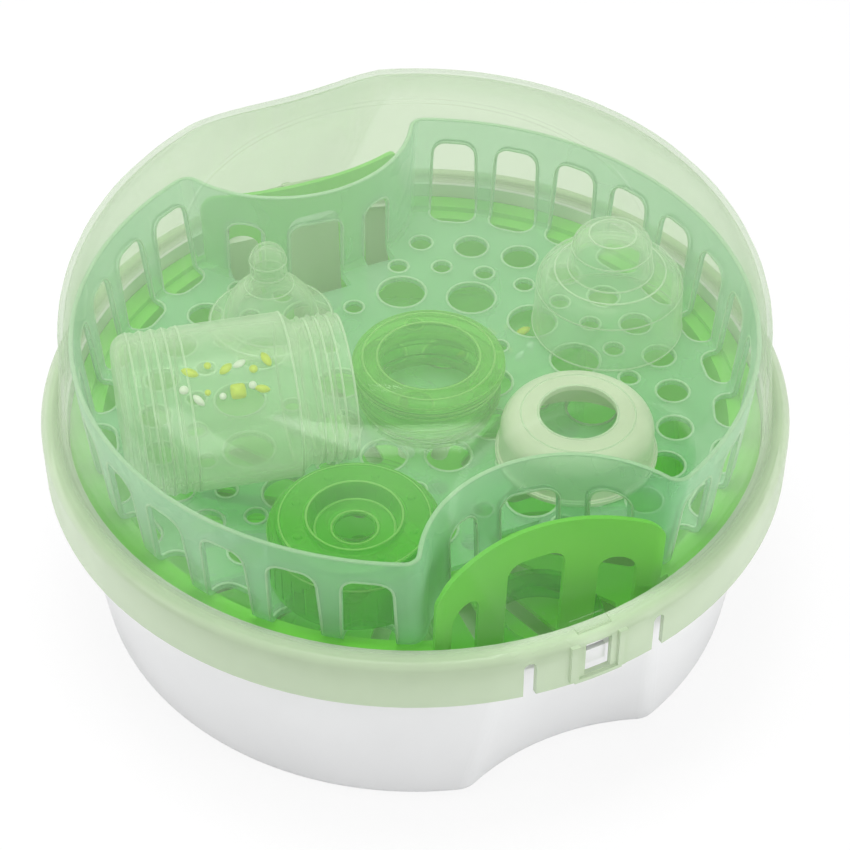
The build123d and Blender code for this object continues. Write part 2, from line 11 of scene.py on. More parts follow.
import bpy
import numpy as np
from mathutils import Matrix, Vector


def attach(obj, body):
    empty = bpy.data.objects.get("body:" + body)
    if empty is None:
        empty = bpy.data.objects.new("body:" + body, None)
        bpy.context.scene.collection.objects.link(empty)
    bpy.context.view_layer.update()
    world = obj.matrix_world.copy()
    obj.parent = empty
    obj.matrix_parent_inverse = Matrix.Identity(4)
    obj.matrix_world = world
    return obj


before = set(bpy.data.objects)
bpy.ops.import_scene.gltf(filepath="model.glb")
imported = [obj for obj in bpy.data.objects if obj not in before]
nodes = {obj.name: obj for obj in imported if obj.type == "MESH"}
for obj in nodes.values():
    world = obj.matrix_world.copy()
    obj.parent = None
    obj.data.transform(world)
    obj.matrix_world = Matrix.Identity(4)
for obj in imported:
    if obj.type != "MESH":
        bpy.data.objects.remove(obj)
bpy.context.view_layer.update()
print("nodes:", sorted(nodes))

# %% [markdown]
# ## The camera
#
# A small product on white is usually taken with a long lens from a step back. The rims in the
# photograph are ellipses about two thirds as high as wide, which puts the camera 42.6 degrees
# above the table, and the clip in front is turned 26.5 degrees. The distance was found from how
# much smaller the far hand bay looks than the near one.

# %% Camera
AZIMUTH, ELEVATION = math.radians(-26.5), math.radians(42.6)
CAMERA_AWAY_M = 0.9
AIM_RIGHT_M, AIM_UP_M = 0.0036, 0.0694
LENS_MM, SENSOR_MM, SIGHT_END_M = 100, 36, 20


def put(name, data):
    """An object of this data, in the scene"""
    thing = bpy.data.objects.new(name, data)
    bpy.context.scene.collection.objects.link(thing)
    return thing


def turn_to(thing, place, target):
    """Puts a camera or a lamp at a place and turns it towards a target"""
    thing.location = place
    thing.rotation_mode = "QUATERNION"
    thing.rotation_quaternion = (Vector(target) - Vector(place)).to_track_quat("-Z", "Y")


camera_back = Vector((
    math.sin(AZIMUTH) * math.cos(ELEVATION),
    -math.cos(AZIMUTH) * math.cos(ELEVATION),
    math.sin(ELEVATION),
))
camera_right = Vector((math.cos(AZIMUTH), math.sin(AZIMUTH), 0))
aim = AIM_RIGHT_M * camera_right + Vector((0, 0, AIM_UP_M))
camera = put("camera", bpy.data.cameras.new("camera"))
camera.data.lens = LENS_MM
camera.data.sensor_width = SENSOR_MM
camera.data.clip_end = SIGHT_END_M
turn_to(camera, aim + CAMERA_AWAY_M * camera_back, aim)
bpy.context.scene.camera = camera
print("camera at", [round(v, 3) for v in camera.location])

# %% [markdown]
# ## A short way to write node trees
#
# Each finish here is a small tree of nodes. A few helpers keep them readable: one starts an
# empty material, one adds a node with its settings and inputs, one gives noise in metres on the
# piece itself, so that the pattern stays on the surface when the piece is lifted, and two turn
# that noise into a range of numbers or of colours.

# %% Node helpers
def new_finish(name):
    """An empty material, and its node tree"""
    finish = bpy.data.materials.new(name)
    finish.use_nodes = True
    finish.node_tree.nodes.clear()
    return finish, finish.node_tree


def add(tree, kind, inputs=None, **settings):
    """A node of this kind. An input is a value, or another node's output to link from."""
    node = tree.nodes.new("ShaderNode" + kind)
    for key, value in settings.items():
        setattr(node, key, value)
    for key, value in (inputs or {}).items():
        if isinstance(value, bpy.types.NodeSocket):
            tree.links.new(value, node.inputs[key])
        else:
            node.inputs[key].default_value = value
    return node


def sent_out(tree, surface, kind="OutputMaterial"):
    """Links a shader to the tree's output"""
    tree.links.new(surface.outputs[0], add(tree, kind).inputs["Surface"])


def grain(tree, per_metre, detail=2.0):
    """Noise with that many patches to a metre, read at the piece's own coordinates"""
    place = add(tree, "TexCoord")
    return add(tree, "TexNoise", {
        "Vector": place.outputs["Object"], "Scale": per_metre, "Detail": detail,
    }).outputs["Fac"]


def spread(tree, value, low, high, from_low=0.3, from_high=0.7):
    """A value stretched from one range to another. Noise keeps mostly between 0.3 and 0.7."""
    return add(tree, "MapRange", {
        "Value": value, "From Min": from_low, "From Max": from_high,
        "To Min": low, "To Max": high,
    }).outputs["Result"]


def tinted(tree, value, dark, light):
    """A colour between two, by a value from 0 to 1"""
    mix = add(tree, "Mix", data_type="RGBA")
    mix.inputs[6].default_value = (*dark, 1)
    mix.inputs[7].default_value = (*light, 1)
    tree.links.new(value, mix.inputs[0])
    return mix.outputs[2]


def reckoned(tree, operation, first, second):
    """Two values through one operation of a Math node"""
    return add(tree, "Math", {0: first, 1: second}, operation=operation).outputs[0]


print("helpers ready")

# %% [markdown]
# ## Moulded plastic that hides what is behind it
#
# The bowl and the basket are injection moulded. Such a wall is never quite even: the colour
# drifts a little where the melt flowed, the polish varies, and very fine spark-eroded grain
# breaks up the gloss. Three noises, from broad to fine, say all that.

# %% Solid plastic
DRIFT_PER_M, POLISH_PER_M, SPARKS_PER_M = 18.0, 55.0, 900.0
SPARKS_DEPTH_M = 0.0002


def solid_plastic(name, dark, light, polish, bump=0.05, painted_glow=0.0):
    """Opaque plastic: colour drift, uneven polish between two roughnesses, and fine grain.
    The last argument is a painted glow: a faint light of the plastic's own colour that brightens
    the piece where it lies in shade, standing in for the light that scatters inside the wall."""
    finish, tree = new_finish(name)
    colour = tinted(tree, spread(tree, grain(tree, DRIFT_PER_M), 0.0, 1.0), dark, light)
    skin = add(tree, "Bump", {"Height": grain(tree, SPARKS_PER_M, 3.0), "Strength": bump,
                              "Distance": SPARKS_DEPTH_M})
    sent_out(tree, add(tree, "BsdfPrincipled", {
        "Base Color": colour,
        "Roughness": spread(tree, grain(tree, POLISH_PER_M), *polish),
        "Normal": skin.outputs["Normal"],
        "Emission Color": colour, "Emission Strength": painted_glow,
    }))
    print("finish", name)
    return finish


white_bowl = solid_plastic("white_bowl", (0.77, 0.775, 0.78), (0.81, 0.815, 0.82), (0.28, 0.40))
# The basket's glow is painted light: it brightens the basket where it lies in shade inside the rack
# and lid.
green_basket = solid_plastic("green_basket", (0.12, 0.52, 0.035), (0.16, 0.58, 0.045),
                             (0.30, 0.42), painted_glow=0.22)

# %% [markdown]
# ## Plastic that lets one see through
#
# The lid, the bottles and the hood are clear polypropylene. It isn't glass: it has a slight
# milky veil, stronger where one looks along the wall, and bends the view so little that plain
# see-through shading does it. A Transparent shader passes the view and the lamps' light, a
# veil of pale plastic is mixed over it, more of it towards the edges, and a gloss on top by
# the Fresnel rule gives the highlights. The rack and the screw rings are the same plastic with
# more colour in it, so they share the tree and differ in its numbers.

# %% Clear plastic
CLOUD_PER_M, GLOSS_PER_M, SKIN_PER_M = 30.0, 40.0, 260.0
SKIN_DEPTH_M = 0.0001
GLOSS_IOR = 1.2            # lower than the plastic's 1.5, since both faces of a wall add gloss
BAND_SOFT_M = 0.0004       # half the height in which the frosted band fades
BAND_EDGE_M = (-0.0015, 0.003)     # where its edge fades, inside and outside its radius


def veil_share(tree, veil, edge_veil, edge_power, band, crown):
    """The share of veil over a clear wall. It goes from veil to edge_veil as one looks more
    and more along the wall, by the power edge_power, and drifts by a tenth either way."""
    facing = add(tree, "LayerWeight", {"Blend": 0.5}).outputs["Facing"]
    bent = reckoned(tree, "POWER", facing, edge_power)
    share = spread(tree, bent, veil, edge_veil, 0.0, 1.0)
    if band or crown:
        place = add(tree, "TexCoord")
        axes = add(tree, "SeparateXYZ", {0: place.outputs["Object"]})
        height = axes.outputs["Z"]
    if crown:
        low_z, high_z, crown_veil = crown
        share = reckoned(tree, "ADD", share, spread(tree, height, 0.0, crown_veil, low_z, high_z))
    if band:
        top_z, inner_radius, band_veil = band
        below = spread(tree, height, band_veil, 0.0, top_z - BAND_SOFT_M, top_z + BAND_SOFT_M)
        flat = add(tree, "CombineXYZ", {"X": axes.outputs["X"], "Y": axes.outputs["Y"]})
        radius = add(tree, "VectorMath", {0: flat.outputs[0]}, operation="LENGTH")
        outside = spread(tree, radius.outputs["Value"], 0.0, 1.0,
                         *(inner_radius + edge for edge in BAND_EDGE_M))
        share = reckoned(tree, "MAXIMUM", share, reckoned(tree, "MULTIPLY", below, outside))
    cloud = spread(tree, grain(tree, CLOUD_PER_M), 0.9, 1.1)
    return reckoned(tree, "MULTIPLY", share, cloud)


def clear_plastic(name, pale, through, veil, edge_veil, polish=(0.10, 0.2), edge_power=2.5,
                  gloss_share=0.2, band=None, crown=None):
    """See-through plastic: through is what a face-on wall passes, pale the veil's colour, and
    veil and edge_veil the veil's share face-on and edge-on. gloss_share is the most that the
    gloss takes. band gives a height and a radius in metres, below and outside which the wall is
    frosted, and the veil's share there. crown gives two heights in metres, and the share that
    the veil grows by between them."""
    finish, tree = new_finish(name)
    clear = add(tree, "BsdfTransparent", {"Color": (*through, 1)})
    milk = add(tree, "BsdfPrincipled", {
        "Base Color": (*pale, 1), "Roughness": 0.5, "Specular IOR Level": 0.2,
    })
    share = veil_share(tree, veil, edge_veil, edge_power, band, crown)
    body = add(tree, "MixShader", {0: share, 1: clear.outputs[0], 2: milk.outputs[0]})
    skin = add(tree, "Bump", {"Height": grain(tree, SKIN_PER_M), "Strength": 0.02,
                              "Distance": SKIN_DEPTH_M})
    gloss = add(tree, "BsdfGlossy", {
        "Color": (1, 1, 1, 1), "Normal": skin.outputs["Normal"],
        "Roughness": spread(tree, grain(tree, GLOSS_PER_M), *polish),
    })
    mirror = add(tree, "Fresnel", {"IOR": GLOSS_IOR})
    held = reckoned(tree, "MINIMUM", mirror.outputs[0], gloss_share)
    sent_out(tree, add(tree, "MixShader", {0: held, 1: body.outputs[0], 2: gloss.outputs[0]}))
    print("finish", name)
    return finish


print("clear_plastic ready")

# %% [markdown]
# ## Which piece has which finish
#
# One looks through the lid to all the rest, so it has hardly any veil face-on: most lies at its
# edges and in a frosted band low down on the skirt, where the real lid looks matt. The rack is
# milky and cooler in colour than the basket under it. The loose rings and the disc have strong
# colours but still pass light, and the bottles, the teat and the hood are nearly colourless.

# %% Finishes for the nodes
clear_lid = clear_plastic(
    "clear_lid", (0.60, 0.73, 0.51), (0.910, 0.943, 0.885), 0.03, 0.6, (0.08, 0.14), 6.0, 0.12,
    band=(0.0893, 0.133, 0.6), crown=(0.132, 0.150, 0.06))
clear_bottle = clear_plastic("clear_bottle", (0.84, 0.94, 0.80), (0.97, 1.0, 0.97), 0.14, 0.7)
clear_low_bottle = clear_plastic(
    "clear_low_bottle", (0.45, 0.85, 0.36), (0.95, 1.0, 0.94), 0.02, 0.3, (0.2, 0.3), 3.0, 0.05)
clear_hood = clear_plastic("clear_hood", (0.82, 0.94, 0.78), (0.97, 1.0, 0.97), 0.07, 0.7)
clear_silicone = clear_plastic(
    "clear_silicone", (0.84, 0.94, 0.78), (0.96, 0.99, 0.96), 0.13, 0.7, (0.2, 0.32))
milky_rack = clear_plastic(
    "milky_rack", (0.50, 0.84, 0.64), (0.89, 0.985, 0.92), 0.26, 0.85, (0.2, 0.35), 2.0, 0.1)
ring_green = clear_plastic(
    "ring_green", (0.22, 0.66, 0.08), (0.72, 0.98, 0.50), 0.28, 0.8, (0.15, 0.3), 2.5, 0.08)
ring_bright = clear_plastic(
    "ring_bright", (0.16, 0.67, 0.05), (0.66, 0.98, 0.42), 0.36, 0.85, (0.15, 0.3), 2.5, 0.06)
ring_cream = clear_plastic(
    "ring_cream", (0.94, 0.95, 0.86), (0.92, 0.96, 0.84), 0.7, 0.95, (0.2, 0.35), 2.5, 0.12)

finishes = {
    "base": white_bowl, "basket": green_basket, "rack": milky_rack, "lid": clear_lid,
    "upper_bottle": clear_bottle, "lower_bottle_right": clear_low_bottle,
    "lower_bottle_front": clear_low_bottle, "lower_bottle_left": clear_low_bottle,
    "lower_bottle_back": clear_low_bottle, "teat": clear_silicone, "bottle_hood": clear_hood,
    "screw_ring_lower": ring_green, "screw_ring_upper": ring_green, "lower_ring": ring_green,
    "cream_ring": ring_cream, "front_ring": ring_bright, "sealing_disc": ring_bright,
}
for node_name, finish in finishes.items():
    slots = nodes[node_name].data.materials
    slots.clear()
    slots.append(finish)
print("finishes given to", len(finishes), "nodes")

# %% [markdown]
# ## Raised rims round the rack's holes and slots
#
# Every hole and slot in the rack has a slightly raised rim from the mould. Seen against the
# light these rims are the pale lines that draw the pattern; their plastic is paler than the
# rack's, a painted highlight along them. Each is a bead along a path: a small half-round
# section that stands on the surface, carried along by two directions, one across the path in
# the surface and one out of it. Curve objects with a bevel would twist on the tight corners, so
# the sections are placed by arrays instead. Lengths are in millimetres until a piece is made.

# %% Beads along paths
UP = np.array([0.0, 0.0, 1.0])
BEAD_SECTION = np.array([(-1.0, -0.3), (-0.75, 0.6), (0.0, 1.0), (0.75, 0.6), (1.0, -0.3)])


def circle(count):
    """Directions all round the z axis"""
    turn = np.linspace(0, 2 * math.pi, count, endpoint=False)
    return np.column_stack([np.cos(turn), np.sin(turn), 0 * turn])


def bead(path, outward, half_width, height, closed=True):
    """Vertices and faces of a bead: at each point p of the path, with unit tangent t and unit
    outward direction n, the section's corner (a, b) lies at p + a half_width (t x n) +
    b height n. A path that isn't closed ends in points."""
    outward = np.broadcast_to(outward, path.shape)
    before = np.roll(path, 1, 0) if closed else np.vstack([path[:1], path[:-1]])
    after = np.roll(path, -1, 0) if closed else np.vstack([path[1:], path[-1:]])
    tangent = after - before
    tangent /= np.linalg.norm(tangent, axis=1)[:, None]
    across = np.cross(tangent, outward)
    across /= np.linalg.norm(across, axis=1)[:, None]
    size = np.ones((len(path), 1))
    if not closed:
        size[[0, -1]] = 0.0
    wide = BEAD_SECTION[:, 0, None] * half_width * (size * across)[:, None, :]
    tall = BEAD_SECTION[:, 1, None] * height * (size * outward)[:, None, :]
    points = path[:, None, :] + wide + tall
    count, sides = len(path), len(BEAD_SECTION)
    step = np.arange(count if closed else count - 1)[:, None]
    corner = np.arange(sides)
    here, there = step * sides, (step + 1) % count * sides
    next_corner = (corner + 1) % sides
    faces = np.stack([here + next_corner, there + next_corner, there + corner, here + corner], -1)
    return points.reshape(-1, 3), faces.reshape(-1, 4)


def joined(parts):
    """One list of vertices and one of faces from several such pairs"""
    points, faces, first = [], [], 0
    for some_points, some_faces in parts:
        points.append(some_points)
        faces.append(some_faces + first)
        first += len(some_points)
    return np.vstack(points), np.vstack(faces)


def turned_about_z(points, angle):
    """Points turned about the object's axis by an angle in radians"""
    c, s = math.cos(angle), math.sin(angle)
    return points @ np.array([[c, s, 0], [-s, c, 0], [0, 0, 1]])


def enclosed_volume(points, faces):
    """The sum of the pyramids from the origin to each face, each a third of its base times its
    height. It is positive where closed faces look outwards."""
    corners = points[faces]
    return sum(
        np.einsum("ij,ij->", corners[:, 0], np.cross(corners[:, k], corners[:, k + 1]))
        for k in range(1, faces.shape[1] - 1)
    ) / 6


def new_piece(name, points, faces, finish, body):
    """A mesh object from arrays in millimetres that rides on a body of the frame"""
    mesh = bpy.data.meshes.new(name)
    mesh.from_pydata((points / 1000).tolist(), [], faces.tolist())
    mesh.materials.append(finish)
    mesh.polygons.foreach_set("use_smooth", np.ones(len(mesh.polygons), bool))
    mesh.update()
    piece = put(name, mesh)
    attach(piece, body)
    print(name, len(faces), "faces, volume", round(float(enclosed_volume(points, faces)), 1), "mm3")


print("a bead's section has", len(BEAD_SECTION), "corners")

# %% [markdown]
# ## The rack's sizes
#
# The beads have to sit exactly on the CAD rack, so they follow the same sizes: a fence that
# leans out a little as it rises, two bays whose walls lean in, and a slot every 12.1 degrees.
# The basket and the rack sit turned by 3.2 degrees in the base.

# %% The rack's sizes
INNER_TURN = math.radians(-3.2)      # how the basket and the rack sit in the base
PITCH = 12.1                         # degrees from one fence slot to the next
SIDES = (-1.0, 179.0)                # the middle slot of each side, in degrees
FLOOR_Z = 80.5
RACK_WALL = 1.8
FENCE_FOOT_R, FENCE_FOOT_Z, FENCE_TALL, FENCE_LEAN = 122.2, 78.3, 44.3, 4.0
BAY_R, BAY_LOW_NEAR, BAY_LOW_Z, BAY_TALL, BAY_LEAN = 51.0, 88.0, 70.0, 60.0, 4.0
SLOT_LOW_Z, SLOT_TOP_Z, SLOT_TOP_R = 81.0, 112.7, 5.6
SLOT_FOOT_HALF, SLOT_TOP_HALF = 9.7, 8.9
SLOT_END_X, SLOT_END_R = 112.5, 6.5
BAY_SLOT_TOP_Z, BAY_SLOT_TOP_R = 108.5, 5.5
BAY_SLOTS = ((6.0, 20.6), (-21.0, 12.0), (32.0, 11.0))      # middle and width
EDGE_R, EDGE_BAY_NEAR, EDGE_CORNER_R, EDGE_Z = 126.2, 84.5, 5.1, 122.55
EDGE_HALF, EDGE_TALL = 0.9, 0.45
RIM_HALF, FLOOR_RIM_TALL, WALL_RIM_TALL = 0.5, 0.25, 0.35
HOLE_RIM_HALF, HOLE_RIM_POINTS = 0.55, 24
ARC_POINTS, RISE_POINTS, EDGE_POINTS = 6, 8, 40
print("the fence leans out by", FENCE_LEAN, "mm over", FENCE_TALL, "mm")

# %% [markdown]
# ### Rims of the floor's holes
#
# Steam rises through rings of round holes. Big and small ones take turns, so that the floor
# stays stiff between them. Each has a flat bead round it on the upper side.

# %% Rims of the floor's holes
def hole_rim(ring_radius, angle, size):
    """A bead round one floor hole, whose middle lies at a radius and an angle in degrees"""
    turn = math.radians(angle)
    middle = np.array([ring_radius * math.cos(turn), ring_radius * math.sin(turn), FLOOR_Z])
    path = middle + (size / 2 + RIM_HALF) * circle(HOLE_RIM_POINTS)
    return bead(path, UP, HOLE_RIM_HALF, FLOOR_RIM_TALL)


# each hole's ring radius, angle in degrees and size
holes = [(0.0, 0.0, 13.0)]
for side in SIDES:
    for step, size in enumerate((12.0, 12.0, 12.6, 13.6, 13.0, 8.6)):
        holes += [(98.0, side + way * (step + 0.5) * PITCH, size) for way in (1, -1)]
    holes += [(83.0, side + step * PITCH, 7.2) for step in range(-6, 7)]
    holes += [(66.5, side + 2 * step * PITCH, 18.6) for step in range(-3, 4)]
holes += [(62.0, angle, 7.0) for angle in (90, 270)]
holes += [(46.5, 22.5 + 45 * step, 6.4) for step in range(8)]
holes += [(31.0, 45 * step, 16.4) for step in range(8)]
hole_rims = [hole_rim(*hole) for hole in holes]
print(len(holes), "holes in the floor")

# %% [markdown]
# ### Rims of the slots
#
# A fence slot is one cut that runs down the wall and on into the floor, so its inner bead turns
# from the wall to the floor as well. The bays have slots of their own, which only go through
# the wall. One slot of each kind is drawn and then turned to its places.

# %% Rims of the slots
def quarter_arc(radius):
    """A quarter circle as (across, along), from its side to its top"""
    turn = np.linspace(0, math.pi / 2, ARC_POINTS)
    return radius * np.column_stack([np.cos(turn), np.sin(turn)])


def slot_arch(half_foot, half_top, top_z, corner):
    """A slot's outline up one side and down the other, as (across, height): straight sides
    that lean in and a top with round corners"""
    rise = np.linspace(SLOT_LOW_Z, top_z - corner, RISE_POINTS)
    share = (rise - SLOT_LOW_Z) / (top_z - SLOT_LOW_Z)
    side = np.column_stack([half_foot + (half_top - half_foot) * share, rise])
    half = np.vstack([side, quarter_arc(corner) + (half_top - corner, top_z - corner)])
    return np.vstack([half, half[::-1] * (-1, 1)])


def fence_slot_rims():
    """Beads of one slot at angle 0: the outline outside, and inside with its floor end. The
    fence is a cone, and a point of it at height z and y across has x = sqrt(r(z)^2 - y^2)."""
    arch = slot_arch(SLOT_FOOT_HALF, SLOT_TOP_HALF, SLOT_TOP_Z, SLOT_TOP_R)
    walls = []
    for inset, way in ((0.0, 1.0), (RACK_WALL, -1.0)):
        radius = FENCE_FOOT_R + FENCE_LEAN * (arch[:, 1] - FENCE_FOOT_Z) / FENCE_TALL - inset
        x = np.sqrt(radius**2 - arch[:, 0] ** 2)
        out = way * np.column_stack([x, arch[:, 0], 0 * x]) / radius[:, None]
        walls.append((np.column_stack([x, arch]), out))
    bend = (quarter_arc(SLOT_END_R) * (-1, 1)
            + (SLOT_END_X + SLOT_END_R, SLOT_FOOT_HALF - SLOT_END_R))
    floor_end = np.vstack([bend[::-1] * (1, -1), bend])
    floor_path = np.column_stack([floor_end, np.full(len(floor_end), FLOOR_Z)])
    (outer_path, outer_out), (inner_path, inner_out) = walls
    inner = bead(np.vstack([inner_path, floor_path]),
                 np.vstack([inner_out, np.tile(UP, (len(floor_path), 1))]),
                 RIM_HALF, FLOOR_RIM_TALL)
    return joined([bead(outer_path, outer_out, RIM_HALF, WALL_RIM_TALL, False), inner])


def bay_slot_rims(middle, width):
    """Beads of one slot in the front bay's wall, on the wall's two faces. The wall is a round
    arc whose middle moves in as it rises: y = sqrt(r^2 - x^2) - near(z) - the bay's radius."""
    half = width / 2 + RIM_HALF
    arch = slot_arch(half, half, BAY_SLOT_TOP_Z, BAY_SLOT_TOP_R) + (middle, 0)
    near = BAY_LOW_NEAR - BAY_LEAN * (arch[:, 1] - BAY_LOW_Z) / BAY_TALL
    rims = []
    for inset, way in ((0.0, -1.0), (RACK_WALL, 1.0)):
        reach = np.sqrt((BAY_R + inset) ** 2 - arch[:, 0] ** 2)
        path = np.column_stack([arch[:, 0], reach - near - BAY_R, arch[:, 1]])
        out = way * np.column_stack([arch[:, 0], reach, 0 * reach]) / (BAY_R + inset)
        rims.append(bead(path, out, RIM_HALF, WALL_RIM_TALL, False))
    return joined(rims)


one_slot = fence_slot_rims()
slot_rims = [
    (turned_about_z(one_slot[0], math.radians(side + step * PITCH)), one_slot[1])
    for side in SIDES for step in range(-5, 6)
]
for bay_slot in BAY_SLOTS:
    front = bay_slot_rims(*bay_slot)
    slot_rims += [front, (turned_about_z(front[0], math.pi), front[1])]
print(len(slot_rims), "slots")

# %% [markdown]
# ### The fence's top edge
#
# The fence ends in a rounded edge that follows its circle and both bays. Seen from above it is
# the longest pale line of the rack. The outline is a circle and a bay arc with a rounding arc
# between them, and the quarter that they make is mirrored twice.

# %% The fence's top edge
def bayed_outline(radius, bay_near, bay_radius, corner, count):
    """A closed plan outline: a circle with two bay arcs bitten out and rounded corners. The
    rounding circle's middle lies where a circle of radius - corner meets one of bay_radius +
    corner round the bay's own middle."""
    bay_middle = -(bay_near + bay_radius)
    inner, outer = radius - corner, bay_radius + corner
    y = (inner**2 - outer**2 + bay_middle**2) / (2 * bay_middle)
    x = math.sqrt(inner**2 - y**2)
    bay_turn = math.atan2(y - bay_middle, x)
    rim_turn = math.atan2(y, x)
    bay_arc = np.linspace(math.pi / 2, bay_turn, count)
    corner_arc = np.linspace(bay_turn - math.pi, rim_turn, count // 2)
    rim_arc = np.linspace(rim_turn, 0, count)
    quarter = np.vstack([
        np.column_stack([bay_radius * np.cos(bay_arc),
                         bay_middle + bay_radius * np.sin(bay_arc)]),
        np.column_stack([x + corner * np.cos(corner_arc), y + corner * np.sin(corner_arc)])[1:],
        np.column_stack([radius * np.cos(rim_arc), radius * np.sin(rim_arc)])[1:],
    ])
    right = np.vstack([quarter, quarter[-2::-1] * (1, -1)])
    return np.vstack([right, right[-2:0:-1] * (-1, 1)])


edge = bayed_outline(EDGE_R - EDGE_HALF, EDGE_BAY_NEAR - EDGE_HALF, BAY_R + EDGE_HALF,
                     EDGE_CORNER_R, EDGE_POINTS)
edge_rim = bead(np.column_stack([edge, np.full(len(edge), EDGE_Z)]), UP, EDGE_HALF, EDGE_TALL)
rims = joined(hole_rims + [edge_rim] + slot_rims)
# The rims' plastic is paler than the rack's: a painted highlight along the rack's edges.
rim_highlight_plastic = clear_plastic(
    "rim_highlight_plastic", (0.62, 0.86, 0.64), (0.9, 0.98, 0.9), 0.62, 0.9, (0.2, 0.35), 2.0, 0.1)
new_piece("rack_rims", turned_about_z(rims[0], INNER_TURN), rims[1], rim_highlight_plastic, "rack")

# %% [markdown]
# ## Fine rings on the bottle
#
# The clear bottle is seen mostly by its ring lines: grooves near the foot, the thread on the
# neck and the two ends. Thin beads round the lying axis catch the light as they do, and their
# paler plastic adds a painted highlight.

# %% Bottle rings
UPPER_BOTTLE = (-112.6, 9.4, 110.8), math.radians(-13.8)      # its foot, and where it points
LOWER_BOTTLE = (88.7, 26.7, 45.3), math.radians(153.5)
BOTTLE_R = 30.0
BOTTLE_RING_HALF, BOTTLE_RING_TALL = 0.45, 0.3
# how far along the bottle each ring lies, and its radius
BOTTLE_RINGS = (
    (6.0, BOTTLE_R), (10.9, BOTTLE_R), (15.0, BOTTLE_R), (19.0, BOTTLE_R), (24.0, BOTTLE_R),
    (61.0, BOTTLE_R), (69.5, 26.4), (73.5, 26.4), (77.5, 26.4), (81.6, 26.3),
)
ALL_ROUND = circle(64)


def bottle_ways(heading):
    """The directions along a lying bottle and beside it"""
    along = np.array([math.cos(heading), math.sin(heading), 0.0])
    return along, np.array([along[1], -along[0], 0.0])


def bottle_ring(s, radius):
    """A bead round the upper bottle at s along it"""
    foot, heading = UPPER_BOTTLE
    along, beside = bottle_ways(heading)
    ways_out = ALL_ROUND[:, :1] * UP + ALL_ROUND[:, 1:2] * beside
    return bead(np.array(foot) + s * along + radius * ways_out, ways_out, BOTTLE_RING_HALF,
                BOTTLE_RING_TALL)


# The lines' plastic is paler than the bottle's: a painted highlight.
highlight_line_plastic = clear_plastic("highlight_line_plastic", (0.82, 0.95, 0.80), (0.97, 1.0, 0.97), 0.45, 0.8)
new_piece("bottle_rings", *joined([bottle_ring(*ring) for ring in BOTTLE_RINGS]), highlight_line_plastic,
          "rack")

# %% [markdown]
# ## Mould lines on the rings, the teat and the hood
#
# The small pieces are half-clear too, so they show by their edges: steps, hole rims and the
# fine ridges that the mould leaves. Each line is a bead round a standing axis, and its outward
# direction leans between straight up, on a top, and straight out, on a side. The beads are
# in a paler plastic than their pieces, a painted highlight along these edges.

# %% Mould lines
LINE_HALF, LINE_TALL = 0.4, 0.22


def standing_line(middle, z, radius, lean):
    """A bead round a standing axis: lean 0 has its crest up and 1 has it outwards"""
    tilt = 0.5 * math.pi * lean
    crest = math.cos(tilt) * UP + math.sin(tilt) * ALL_ROUND
    return bead(np.array([*middle, z]) + radius * ALL_ROUND, crest, LINE_HALF, LINE_TALL)


# each piece's axis, and its lines as height, radius and lean
green_lines = {
    "sealing_disc": ((-56.5, -67.0), (
        (104.7, 26.3, 0.5), (105.7, 16.8, 0.0), (99.7, 14.0, 0.0), (99.7, 8.2, 0.0),
        (99.6, 30.5, 1.0),
    )),
    "screw_rings": ((4.0, -3.0), (
        (105.3, 24.6, 0.0), (105.3, 19.2, 0.0), (103.4, 28.0, 0.7), (100.6, 28.4, 1.0),
        (97.4, 27.2, 1.0), (91.0, 26.3, 0.7), (88.0, 27.0, 1.0), (84.5, 24.9, 1.0),
    )),
}
pale_lines = {
    "teat": ((-29.5, 68.0), (
        (83.0, 23.8, 0.2), (83.6, 18.6, 0.5), (99.8, 9.5, 1.0), (105.8, 7.0, 1.0),
        (111.6, 7.2, 1.0),
    )),
    "bottle_hood": ((88.0, 8.6), (
        (81.6, 29.4, 1.0), (100.8, 28.3, 1.0), (107.8, 21.4, 0.2), (109.4, 16.5, 0.7),
        (118.8, 15.2, 1.0), (124.9, 9.0, 0.1),
    )),
    "cream_ring": ((41.5, -50.0), ((82.4, 29.4, 0.3), (100.0, 14.7, 0.0), (99.4, 21.0, 0.1))),
}
# The green lines' plastic is paler than the rings': a painted highlight.
green_highlight_line = clear_plastic(
    "green_highlight_line", (0.42, 0.80, 0.24), (0.8, 0.98, 0.7), 0.5, 0.9, (0.15, 0.3), 2.5, 0.12)
for name, lined, finish in (("ring_lines", green_lines, green_highlight_line),
                            ("pale_lines", pale_lines, highlight_line_plastic)):
    beads = [standing_line(middle, *line) for middle, lines in lined.values() for line in lines]
    new_piece(name, *joined(beads), finish, "rack")

# %% [markdown]
# ## The print on the bottles
#
# Feeding bottles carry a small cheerful print. Here it is a plain pattern of leaves, dots and
# one soft square, drawn as outlines in the plane of the unrolled bottle and wrapped round it:
# a point at s along the axis and t round it lies at angle t / R from the top. Ink has hardly
# any thickness, but a closed patch a fifth of a millimetre thick exports as well as it shows.

# %% Printed motifs
MOTIF_POINTS = 16
INK_TOP, INK_FOOT = 0.22, 0.02       # millimetres above the bottle's wall


def leaf(length, width, lean):
    """A pointed oval: the half width follows the sine of the way along"""
    way = np.linspace(0, 2 * math.pi, MOTIF_POINTS, endpoint=False)
    x = 0.5 * length * np.cos(way)
    y = 0.5 * width * np.sin(way) * np.abs(np.sin(way)) ** 0.3
    c, s = math.cos(lean), math.sin(lean)
    return np.column_stack([c * x - s * y, s * x + c * y])


def blob(width, power=1.0):
    """A rounded figure between a circle, power 1, and a square, power near 0.4"""
    way = np.linspace(0, 2 * math.pi, MOTIF_POINTS, endpoint=False)
    c, s = np.cos(way), np.sin(way)
    return 0.5 * width * np.column_stack([np.sign(c) * np.abs(c) ** power,
                                          np.sign(s) * np.abs(s) ** power])


